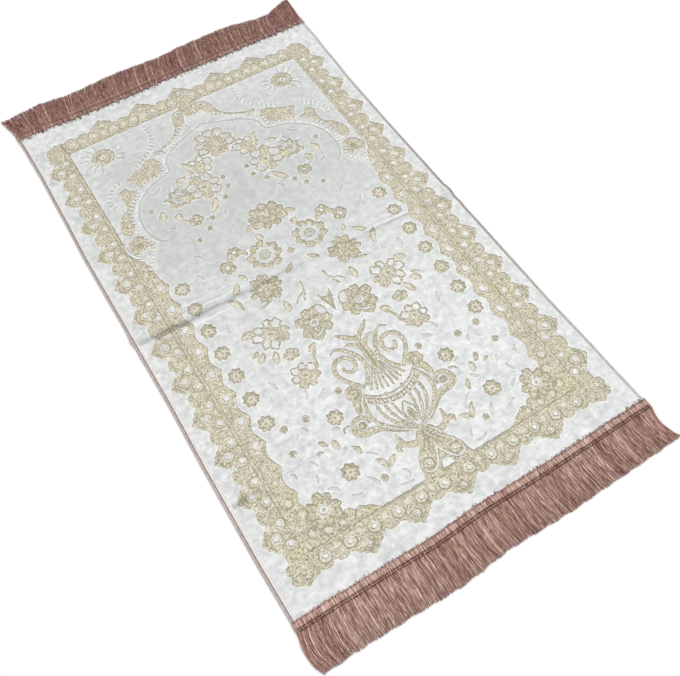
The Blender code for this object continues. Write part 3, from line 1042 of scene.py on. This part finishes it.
class Threads:
    """Many thin tubes in one mesh, each with a tone of its own, and darker where its shade is."""

    def __init__(self, sides):
        self.sides = sides
        self.points, self.faces, self.tones, self.shades = [], [], [], []

    def loft(self, rings, tones, shades, turned):
        """A closed skin over rings, turned where they run clockwise; tones and shades may be numbers."""
        first, size, last = len(self.points), len(rings[0]), len(rings) - 1
        self.points += [corner for ring in rings for corner in ring]
        self.tones += np.repeat(np.broadcast_to(tones, last + 1), size).tolist()
        self.shades += np.repeat(np.broadcast_to(shades, last + 1), size).tolist()
        faces = [range(size)[::-1], range(size * last, size * (last + 1))]
        for row in range(0, size * last, size):
            for k in range(size):
                a, b = row + k, row + (k + 1) % size
                faces.append((a, b, b + size, a + size))
        self.faces += [tuple(first + index for index in (face[::-1] if turned else face)) for face in faces]

    def add(self, path, radius, tones, axis=1, twist=0.0, shades=0.0):
        """A tube along a path that runs mostly along one axis; its radius may differ by point."""
        rings = []
        for i, (spot, size) in enumerate(zip(path, np.broadcast_to(radius, len(path)))):
            ring = []
            for k in range(self.sides):
                aim = 2 * pi * (k / self.sides + twist * i)
                corner = list(spot)
                corner[1 - axis] += size * cos(aim)
                corner[2] += size * sin(aim)
                ring.append(corner)
            rings.append(ring)
        forwards = path[-1][axis] > path[0][axis]
        self.loft(rings, tones, shades, forwards == (axis == 1))

    def piece(self, name, look, slot):
        return add_piece(name, self.points, self.faces, look, slot, tone=self.tones, shade=self.shades)


# ---------------- fringes

YARNS = 520  # across each layer of a fringe
YARN_THICK = 0.0013
YARN_STRAY = 0.0006
YARN_BOW = 0.0005
YARN_FALL = 0.35  # the share of its hanging length over which it comes down
YARN_TWIST = 0.07  # the most turns between two points of a yarn
YARN_TAPER = 0.35  # how much thinner its tip is
LAYER_ASIDE = 0.33  # how far a layer lies beside the one below, as a share of the yarns' pitch
TONE_SPREAD = 0.07
PALE_YARNS = 0.08  # shares of yarns with a paler or a darker tone, and how much that is
PALER = 0.34
DARK_YARNS = 0.12
DARKER = 0.22
RAGGED = 0.0028  # how unevenly the yarns are cut
LOCK_WIDE = 0.003  # yarns that hang together
LOCK_PULL = 0.22  # how much they draw together, as a share of their distance
LOCK_STRAY = 0.0006
CLUMP = 0.034  # the length of a slow wave along the fringe
CLUMP_STRAY = 0.0005
CUT_WAVE = 0.0007  # how much the cut ends wave with it
TAPE_STEPS = 80
STITCH_STEP = 0.0036
STITCH_RADIUS = 0.0009
STITCH_SLANT = 0.0008
STITCH_RISE = 0.0005
STITCH_UNEVEN = 0.0001
HEADING_TOP = CLOTH_THICK + CLEAR + 0.0014

# Along the heading, out from the shown cloth: the top yarns' height, their shade, and their added tone
Station = namedtuple("Station", "out high shade lift")
HEADING = [
    Station(0.0055, HEADING_TOP, 0.0, 0.15),
    Station(0.0112, HEADING_TOP, 0.0, 0.15),
    Station(0.014, HEADING_TOP - 0.0006, 0.2, 0.0),
    Station(0.0161, HEADING_TOP + 0.0002, 0.2, 0.0),
    Station(0.0182, HEADING_TOP - 0.001, 0.2, 0.0),
    Station(0.02, HEADING_TOP - 0.0006, 0.0, 0.0),
]
STITCHED = (HEADING[2], HEADING[4])
LOOSE_STEP = 0.002  # how much further out every other loose end starts
# A loose end on the cloth, out from its tip
LOOSE = [Station(0.0, CLOTH_THICK + 0.0006, 0.8, 0.0), Station(0.0015, CLOTH_THICK + 0.0012, 0.5, 0.0)]
# One stitch: shares of the step along it, of its slant, and of its rise
STITCH = ((0.06, -1.0, -0.6), (0.22, -0.4, 1.0), (0.56, 0.4, 1.0), (0.72, 1.0, -0.6))

# Layers of yarn from below: where they start, their heights there, further out and at the tip, and their
# shade
LAYERS = table(
    "start start_high past_high tip_high parts shade",
    (HEADING_END - 0.003, 0.001, 0.0008, 0.0008, 6, 0.55),
    (HEADING_END - 0.004, 0.0026, 0.0019, 0.0012, 7, 0.35),
    (HEADING_END, HEADING_TOP - 0.001, 0.003, 0.0018, 12, 0),
)

# Where a fringe's loose ends start and how far they reach back at most, its mean tone, and the shade of
# its stitches; the far fringe's lower tone is painted shade
FRINGES = table(
    "end sign lie start ends tone stitches seed",
    ("near", -1, NEAR_LIE, HEADING_START, 0.004, 0.53, 1.0, 21),
    ("far", 1, FAR_LIE, HEADING_START + 0.0022, 0.009, 0.3, 0.6, 22),
)


def yarn_tone(mean, chance):
    """Mostly near the fringe's mean tone, with a pale or a dark yarn now and then."""
    pick = chance.random()
    if pick < PALE_YARNS:
        return mean + PALER
    if pick < PALE_YARNS + DARK_YARNS:
        return mean - DARKER
    return chance.gauss(mean, TONE_SPREAD)


def lie_at(fringe, column, x):
    return smooth_between(fringe.lie, column, x / (RUG_WIDE / 2))


def ends_of(fringe):
    """The cloth's left and right corners under a fringe."""
    return left_edge(fringe.sign * CLOTH_END), right_edge(fringe.sign * CLOTH_END)


def hanging(x, fringe, layer, shift, gather, chance):
    """A yarn from the heading to its tip: across, out, up, and the share of its length."""
    reach, middle, tip = (lie_at(fringe, column, x) for column in ("reach", "middle", "tip"))
    end = HALF_LONG + reach + CUT_WAVE * sin(2 * pi * x / CLUMP) - chance.uniform(0.0, RAGGED)
    stray, bow, bend = chance.gauss(0, YARN_STRAY), chance.gauss(0, YARN_BOW), chance.uniform(0, 2 * pi)
    for k in range(layer.parts + 1):
        share = k / layer.parts
        out = (layer.start + shift) * (1 - share) + end * share
        past = max((out - shift - HEADING_END) / (end - shift - HEADING_END), 0.0)
        side = middle * 4 * past * (1 - past) + tip * past * (2 * past - 1)
        side += (gather + stray) * past ** 1.4 + bow * sin(bend + 11 * past) * past ** 0.5
        fall = min(past / YARN_FALL, 1.0)
        high = layer.start_high + (layer.past_high - layer.start_high) * fall * (2 - fall)
        high += (layer.tip_high - layer.past_high) * past ** 2
        yield x + side, out, high, past


def fringe_yarns(fringe, look):
    """Layers of yarn; those on top start as loose ends and run over the heading."""
    chance = random.Random(fringe.seed)
    threads = Threads(3)
    low, high = ends_of(fringe)
    pitch = (high - low) / YARNS
    locks = [chance.uniform(-1, 1) for _ in range(ceil((high - low) / LOCK_WIDE))]
    for depth, layer in enumerate(LAYERS):
        top = layer is LAYERS[-1]
        for i in range(YARNS):
            x = min(max(low + (i + 0.5 + LAYER_ASIDE * depth) * pitch, low + pitch), high - pitch)
            lock = int((x - low) / LOCK_WIDE)
            pull = LOCK_PULL * (low + (lock + 0.5) * LOCK_WIDE - x)
            gather = LOCK_STRAY * locks[lock] + CLUMP_STRAY * sin(2 * pi * x / CLUMP) + pull
            shift = lie_at(fringe, "shift", x) if top else 0.0
            tone = yarn_tone(fringe.tone, chance)
            spots = list(hanging(x, fringe, layer, shift, gather, chance))
            path = [(across, fringe.sign * out, up) for across, out, up, _ in spots]
            radii = [YARN_THICK / 2 * (1.0 - YARN_TAPER * past ** 3) for *_, past in spots]
            tones = [tone] * len(spots)
            shades = [layer.shade] * len(spots)
            if top:
                loose = fringe.start - chance.random() ** 3 * fringe.ends + (i % 2) * LOOSE_STEP - HALF_LONG
                over = sorted([one._replace(out=loose + one.out) for one in LOOSE] + HEADING)
                path = [(x, fringe.sign * (HALF_LONG + shift + one.out), one.high) for one in over] + path
                radii = [YARN_THICK * 0.25] + [YARN_THICK / 2] * (len(over) - 1) + radii
                tones = [tone + one.lift for one in over] + tones
                shades = [one.shade for one in over] + shades
            threads.add(path, radii, tones, twist=chance.uniform(-YARN_TWIST, YARN_TWIST), shades=shades)
    return threads.piece(f"fringe_yarns_{fringe.end}", look, "fringe_yarn")


def heading_tape(fringe, look):
    """The tape under the fringe's yarns: a strip that steps down off the cloth's end."""
    on_cloth = CLOTH_THICK + CLEAR
    step = CLOTH_END + CLEAR
    rings = []
    for x in np.linspace(*ends_of(fringe), TAPE_STEPS):
        start = HEADING_START + 0.001 + max(lie_at(fringe, "shift", x), 0.0)
        section = (
            (start, on_cloth), (step, on_cloth), (step + 0.0012, 0.0003), (HEADING_END - 0.001, 0.0003),
            (HEADING_END - 0.0005, 0.0015), (step + 0.004, 0.003), (step - 0.0005, HEADING_TOP - 0.0008),
            (start, HEADING_TOP - 0.0008),
        )
        rings.append([(x, fringe.sign * out, z) for out, z in section])
    threads = Threads(8)
    threads.loft(rings, 0.45, 0.2, fringe.sign < 0)
    return threads.piece(f"heading_{fringe.end}", look, "fringe_yarn")


def heading_stitches(fringe, look):
    """Two rows of slanting stitches that hold the yarns down on the tape."""
    chance = random.Random(fringe.seed)
    threads = Threads(4)
    low, high = ends_of(fringe)
    for row, station in enumerate(STITCHED):
        top = station.high + YARN_THICK / 2
        for i in range(int((high - low - 2 * STITCH_STEP) / STITCH_STEP)):
            x = low + (i + 1 + 0.5 * row) * STITCH_STEP
            slant = STITCH_SLANT if i % 2 else -STITCH_SLANT
            rise = STITCH_RISE + chance.uniform(-STITCH_UNEVEN, STITCH_UNEVEN)
            out = HALF_LONG + station.out + lie_at(fringe, "shift", x)
            path = [(x + along * STITCH_STEP, fringe.sign * (out + aside * slant), top + up * rise)
                    for along, aside, up in STITCH]
            threads.add(path, STITCH_RADIUS, 0.95, axis=0, shades=fringe.stitches)
    return threads.piece(f"heading_stitches_{fringe.end}", look, "fringe_yarn")


# ---------------- side bindings

WRAP_STEP = 0.0024
WRAP_RADIUS = 0.00052
WRAP_SLANT = 0.16  # how far a wrap goes on at each point, as a share of its step
EDGE_STEPS = 260
# Across the binding: shares of its width and of the cloth's thickness, and the yarn's added tone
WRAP_SECTION = (
    (1.02, 1.1, 0.7), (0.74, 1.26, 0.5), (0.4, 1.2, -0.1), (0.08, 0.86, -0.1), (0.02, 0.42, -0.1),
    (0.2, 0.08, -0.1),
)
CORE_SECTION = ((0.12, 0.3), (0.28, 0.02), (0.98, 0.02), (0.98, 0.96), (0.34, 1.02), (0.14, 0.78))
# Cords along it: how far across and up, how much they wave, their radius and tone, and their shade in the
# middle of the rug and at its ends
CORD = "across high wave radius tone shade end_shade"
LEFT_CORDS = table(
    CORD,
    (0.18, 0.85, 0.1, 0.0013, 0.2, 0.3, 0.3),
    (0.5, 1.28, 0.06, 0.0008, 0.2, 0.9, 1),
    (0.86, 1.02, 0.04, 0.0014, 0.7, 0, 0),
)
RIGHT_CORDS = table(
    CORD,
    (0.56, 1.08, 0.06, 0.0023, 0.45, 0.78, 0.05),
    (0.98, 1.02, 0.04, 0.001, 1, 0, 0),
)
SIDES = table(
    "side edge into cords seed",
    ("left", left_edge, 1, LEFT_CORDS, 13),
    ("right", right_edge, -1, RIGHT_CORDS, 14),
)


def side_binding(one, look):
    """Slanting wraps of yarn over one long edge, with darker cords along it."""
    threads = Threads(3)
    chance = random.Random(one.seed)

    def spot(y, share, height, on=0.0):
        outer = one.edge(y)
        lift = float(floor_rise(outer + one.into * BINDING_WIDE, y))
        return outer + one.into * share * BINDING_WIDE, y + on, lift + height * CLOTH_THICK

    for i in range(int(2 * CLOTH_END / WRAP_STEP)):
        y = -CLOTH_END + (i + 0.5) * WRAP_STEP
        path = [spot(y, share, height, WRAP_STEP * WRAP_SLANT * k)
                for k, (share, height, _) in enumerate(WRAP_SECTION)]
        tone = chance.uniform(0.5, 0.95)
        threads.add(path, WRAP_RADIUS, [tone + added for *_, added in WRAP_SECTION], axis=0)
    rows = np.linspace(-CLOTH_END, CLOTH_END, EDGE_STEPS)
    for cord in one.cords:
        path = [spot(y, cord.across, cord.high + cord.wave * sin(2.1 * i)) for i, y in enumerate(rows)]
        shades = cord.shade + (cord.end_shade - cord.shade) * np.abs(rows) / CLOTH_END
        threads.add(path, cord.radius, cord.tone, shades=shades)
    core = [[spot(y, share, height) for share, height in CORE_SECTION] for y in rows]
    threads.loft(core, 0.75, 0.1, one.into > 0)
    return threads.piece(f"overlock_{one.side}", look, "binding_yarn")


# ---------------- materials

class Looks:
    """A material in the making, with short names for what its nodes do."""

    def __init__(self, name):
        self.made = bpy.data.materials.new(name)
        self.made.use_nodes = True
        self.tree = self.made.node_tree

    def feed(self, node, inputs):
        """Give a node its inputs, by their names or numbers: each is a link or a constant."""
        for key, value in inputs.items():
            socket = node.inputs[key]
            if hasattr(value, "is_output"):
                self.tree.links.new(value, socket)
            else:
                socket.default_value = (*value, 1.0) if socket.type == "RGBA" else value
        return node

    def node(self, kind, inputs, **settings):
        made = self.tree.nodes.new("ShaderNode" + kind)
        for name, value in settings.items():
            setattr(made, name, value)
        return self.feed(made, inputs)

    def finish(self, inputs):
        """The material, once its shader has these inputs."""
        self.feed(self.tree.nodes["Principled BSDF"], inputs)
        return self.made

    def place(self):
        return self.node("TexCoord", {}).outputs["Object"]

    def where(self, axis):
        return self.node("SeparateXYZ", {"Vector": self.place()}).outputs[axis]

    def value(self, name):
        return self.node("Attribute", {}, attribute_name=name).outputs["Fac"]

    def math(self, operation, a, b=0.0):
        return self.node("Math", {0: a, 1: b}, operation=operation).outputs[0]

    def times(self, a, b):
        return self.math("MULTIPLY", a, b)

    def noise(self, scale, detail, stretch=(1, 1, 1), rough=0.55, warp=0.0):
        place = self.node("Mapping", {"Vector": self.place(), "Scale": stretch}).outputs[0]
        inputs = {"Vector": place, "Scale": scale, "Detail": detail, "Roughness": rough, "Distortion": warp}
        return self.node("TexNoise", inputs).outputs["Fac"]

    def ramp(self, factor, *stops):
        """Colours between stops of (place, colour)."""
        made = self.node("ValToRGB", {"Fac": factor})
        band = made.color_ramp.elements
        while len(band) < len(stops):
            band.new(0.5)
        for element, (spot, colour) in zip(band, stops):
            element.position = spot
            element.color = (*colour, 1.0)
        return made.outputs["Color"]

    def span(self, factor, low, high, to_low=0.0, to_high=1.0):
        """A factor's way from low to high, as a way between two other values."""
        inputs = {"Value": factor, "From Min": low, "From Max": high, "To Min": to_low, "To Max": to_high}
        return self.node("MapRange", inputs).outputs["Result"]

    def mix(self, factor, colour, other):
        inputs = {0: factor, 6: colour, 7: other}
        return self.node("Mix", inputs, data_type="RGBA").outputs[2]

    def coats(self, colour, *coats):
        """Coats of other colours, each up to a share as its factor goes from low to high."""
        for factor, low, high, share, other in coats:
            colour = self.mix(self.span(factor, low, high, 0.0, share), colour, other)
        return colour

    def washes(self, colour, *washes):
        """Washes of other colours, each by its factor times a share."""
        for factor, share, other in washes:
            colour = self.mix(self.times(factor, share), colour, other)
        return colour

    def marks(self, rows):
        """Where narrow marks lie, up to 1: each follows a wavering line and changes along it."""
        x = self.where("X")
        y = self.math("ADD", self.where("Y"), self.span(self.noise(30, 3), 0.3, 0.7, -0.002, 0.002))
        total = 0.0
        for mark in rows:
            (start, low), (end, high) = mark.start, mark.end
            off = self.math("ABSOLUTE", self.math("SUBTRACT", y, self.span(x, start, end, low, high)))
            across = self.span(off, 0.0, mark.half_wide, 1.0, 0.0)
            along = self.span(x, start, end, mark.first, mark.last)
            inside = self.times(self.math("GREATER_THAN", x, start), self.math("LESS_THAN", x, end))
            total = self.math("MAXIMUM", total, self.times(inside, self.times(across, along)))
        return total

    def bump(self, height, distance, strength, below=None):
        inputs = {"Height": height, "Distance": distance, "Strength": strength}
        if below:
            inputs["Normal"] = below
        return self.node("Bump", inputs).outputs["Normal"]


def velvet_pile():
    """White cut pile with a satin gleam, brushed into slightly darker and lighter patches, with painted
    highlights on its edges and the folds, and painted shade on its far half and the folds.
    """
    look = Looks("velvet_pile")
    brushed = look.noise(20, 4, (1, 0.6, 1))
    mottled = look.noise(85, 4, rough=0.65)
    streaks = look.noise(150, 3, (0.35, 1, 1))
    colour = look.coats(
        look.ramp(brushed, (0.3, (0.61, 0.62, 0.615)), (0.5, (0.675, 0.69, 0.68)),
                  (0.72, (0.75, 0.76, 0.75))),
        (streaks, 0.45, 0.75, 0.7, (0.84, 0.85, 0.845)),
        (mottled, 0.5, 0.32, 0.62, (0.46, 0.475, 0.475)),
        (mottled, 0.53, 0.68, 0.7, (0.9, 0.905, 0.9)),
    )
    # painted shade: darker in the middle of the far half, and less so towards the sides
    far_shade_stops = ((0.25, 0.0), (0.45, 0.18), (0.66, 0.58), (0.86, 0.42), (0.96, 0.1))
    along = look.span(look.where("Y"), -HALF_LONG, HALF_LONG)
    lean = look.ramp(along, *((spot, (grey, grey, grey)) for spot, grey in far_shade_stops))
    aside = look.span(look.math("ABSOLUTE", look.where("X")), 0.2, 0.29, 1.0, 0.25)
    colour = look.mix(look.times(lean, aside), colour, (0.44, 0.455, 0.44))
    # painted highlight: lighter along the pile's edges
    colour = look.coats(colour, (look.value("border"), 0.45, 1.0, 0.6, (0.86, 0.86, 0.83)))
    colour = look.washes(
        colour,
        (look.value("shorn"), 0.3, (0.5, 0.515, 0.51)),
        # painted highlights and painted shade along the folds
        (look.marks(PAINTED_HIGHLIGHT_MARKS), 0.7, (0.97, 0.97, 0.97)),
        (look.marks(PAINTED_SHADE_MARKS), 0.62, (0.25, 0.26, 0.27)),
    )
    tufts = look.bump(mottled, 0.0012, 0.5)
    return look.finish({
        "Base Color": colour,
        "Roughness": look.span(brushed, 0.3, 0.7, 0.42, 0.56),
        "Sheen Weight": 0.05,
        "Sheen Roughness": 0.4,
        "Specular IOR Level": 0.45,
        "Normal": look.bump(look.noise(1200, 2), 0.0003, 0.5, tufts),
    })


def beige_ground():
    """Woven beige ground, with curling cream and olive threads, and painted olive shade along its edges,
    towards the far end and along the folds.
    """
    look = Looks("beige_ground")
    speckle = look.noise(330, 3, rough=0.8)
    curls = look.noise(170, 1, warp=2.4)
    loops = look.math("ABSOLUTE", look.math("SUBTRACT", curls, 0.5))
    tint = look.value("tint")
    colour = look.coats(
        look.ramp(look.noise(40, 3), (0.3, (0.54, 0.5, 0.37)), (0.52, (0.62, 0.565, 0.43)),
                  (0.75, (0.69, 0.61, 0.5))),
        (look.noise(14, 2), 0.55, 0.68, 0.6, (0.64, 0.61, 0.35)),
        # painted shade: darker towards the far end
        (look.where("Y"), 0.0, 0.45, 0.22, (0.42, 0.38, 0.3)),
        (loops, 0.045, 0.005, 0.85, (0.28, 0.25, 0.15)),
        (curls, 0.6, 0.66, 0.5, (0.86, 0.83, 0.71)),
        (speckle, 0.545, 0.62, 0.8, (0.93, 0.91, 0.81)),
        (speckle, 0.46, 0.37, 0.9, (0.22, 0.19, 0.115)),
        (tint, 0.0, -0.8, 0.45, (0.9, 0.88, 0.78)),
        # dark threads, and painted shade along the beige's edges
        (tint, 0.35, 1.0, 0.7, (0.27, 0.25, 0.15)),
    )
    return look.finish({
        # painted shade along the folds
        "Base Color": look.washes(colour, (look.marks(PAINTED_SHADE_MARKS), 0.75, (0.13, 0.12, 0.08))),
        "Roughness": look.span(speckle, 0.35, 0.7, 0.75, 0.48),
        "Sheen Weight": 0.03,
        "Sheen Roughness": 0.5,
        "Normal": look.bump(speckle, 0.001, 0.8, look.bump(curls, 0.001, 0.4)),
    })


# Colours of yarn: dark, plain, bright, and in the shade
ROSE = (0.2, 0.08, 0.06), (0.49, 0.265, 0.21), (0.86, 0.66, 0.59), (0.12, 0.045, 0.036)
PALE = (0.58, 0.5, 0.465), (0.78, 0.72, 0.69), (0.92, 0.9, 0.88), (0.27, 0.18, 0.15)


def yarn_look(name, colours):
    """Spun yarn: each thread has its own tone, flecked along its length."""
    look = Looks(name)
    flecks = look.noise(150, 3, (5, 1, 1), rough=0.7)
    mixed = look.math("ADD", look.value("tone"), look.span(flecks, 0.3, 0.7, -0.28, 0.28))
    dark, plain, bright, shaded = colours
    colour = look.ramp(mixed, (0.12, dark), (0.5, plain), (0.9, bright))
    return look.finish({
        "Base Color": look.mix(look.value("shade"), colour, shaded),
        "Roughness": look.span(flecks, 0.3, 0.7, 0.42, 0.62),
        "Sheen Weight": 0.04,
        "Sheen Roughness": 0.35,
        "Specular IOR Level": 0.5,
        "Normal": look.bump(look.noise(700, 2, (1, 0.5, 1)), 0.0003, 0.6),
    })


def pale_floor():
    look = Looks("pale_floor")
    return look.finish({
        "Base Color": look.ramp(look.noise(3, 2), (0.3, (0.96, 0.96, 0.96)), (0.7, (0.98, 0.98, 0.98))),
        "Roughness": 0.9,
        "Specular IOR Level": 0.1,
    })


# ---------------- camera, light and floor

CAMERA_AT = Vector((-0.37757, -0.77981, 1.184))  # from the middle of the shown cloth
CAMERA_TURN = (30.2723, 0.739, -31.7862)  # degrees about X, Y and Z
LENS = 42.94  # millimetres, on a sensor this wide
SENSOR = 36.0
SUN_AT = (0.75, 0.65, 1.5)  # it shines from there towards the rug
SUN_POWER = 1.8
SUN_SPREAD = 25  # degrees
WORLD_POWER = 0.58
FLOOR_HALF = 25.0
FLOOR_BELOW = 0.0004


def add_camera():
    data = bpy.data.cameras.new("camera")
    data.lens = LENS
    data.sensor_width = SENSOR
    camera = add_object("camera", data, CAMERA_AT + SHIFT)
    camera.rotation_euler = [radians(angle) for angle in CAMERA_TURN]
    bpy.context.scene.camera = camera


def add_light():
    """A white surround and a soft sun."""
    world = bpy.data.worlds.new("soft_surround")
    world.use_nodes = True
    background = world.node_tree.nodes["Background"]
    background.inputs["Color"].default_value = (1.0, 1.0, 1.0, 1.0)
    background.inputs["Strength"].default_value = WORLD_POWER
    bpy.context.scene.world = world
    data = bpy.data.lights.new("key", "SUN")
    data.energy = SUN_POWER
    data.angle = radians(SUN_SPREAD)
    sun = add_object("key", data, SUN_AT)
    sun.rotation_euler = (-Vector(SUN_AT)).to_track_quat("-Z", "Y").to_euler()


def add_floor():
    mesh = bpy.data.meshes.new("floor")
    corners = [(a * FLOOR_HALF, b * FLOOR_HALF, 0) for a, b in ((-1, -1), (1, -1), (1, 1), (-1, 1))]
    mesh.from_pydata(corners, [], [(0, 1, 2, 3)])
    mesh.materials.append(pale_floor())
    add_object("floor", mesh, (0, 0, -FLOOR_BELOW))


# ---------------- the whole

def shift_of_frame():
    """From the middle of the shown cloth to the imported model's origin."""
    low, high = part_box("rug_cloth")
    widest = min(left_edge(CLOTH_END * (i / 200 - 1)) for i in range(401)) + BINDING_WIDE + CLEAR
    return Vector((low.x - widest, (low.y + high.y) / 2, 0.0))


SHIFT = shift_of_frame()
bpy.context.scene.view_settings.view_transform = "Standard"
add_camera()
add_light()
add_floor()
ground, pile = make_cloth()
trim = [pile]
rose = yarn_look("spun_rose", ROSE)
pale = yarn_look("wrapped_edge", PALE)
for fringe in FRINGES:
    yarns = fringe_yarns(fringe, rose)
    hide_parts(f"fringe_{fringe.end}")
    trim += [yarns, heading_tape(fringe, rose), heading_stitches(fringe, rose)]
for one in SIDES:
    binding = side_binding(one, pale)
    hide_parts(f"binding_{one.side}")
    trim.append(binding)
